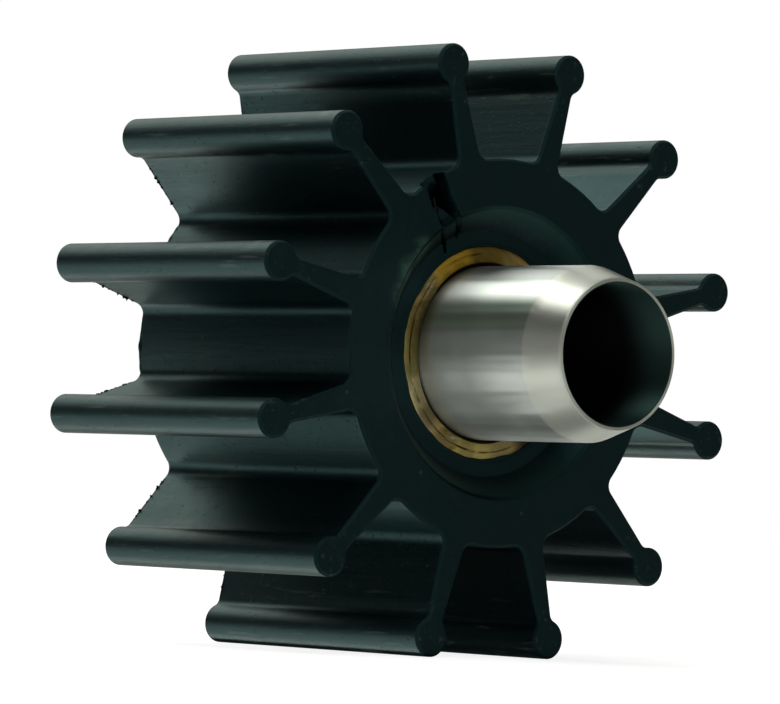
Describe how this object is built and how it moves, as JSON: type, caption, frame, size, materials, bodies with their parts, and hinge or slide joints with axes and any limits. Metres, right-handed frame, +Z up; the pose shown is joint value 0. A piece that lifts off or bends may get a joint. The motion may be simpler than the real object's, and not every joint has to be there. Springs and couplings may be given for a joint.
{
  "type": "rubber pump impeller",
  "caption": "Flexible rubber impeller with straight beaded blades, moulded on a brass bush, with a tapered steel sleeve standing out of its front face.",
  "frame": {"origin": "on the axis, half-way along the blades' width", "axes": "+Y along the axis towards the rear face, so the sleeve's nose points to -Y; +Z up, with the part lying on the beads of two blades"},
  "size_m": [0.0554, 0.0472, 0.0554],
  "materials": {
    "rubber": "matte, slightly dusty",
    "brass": "worn",
    "steel": "turned, polished"
  },
  "bodies": {
    "root": {"rubber_impeller": "rubber", "brass_bush": "brass", "steel_sleeve": "steel"}
  },
  "joints": []
}
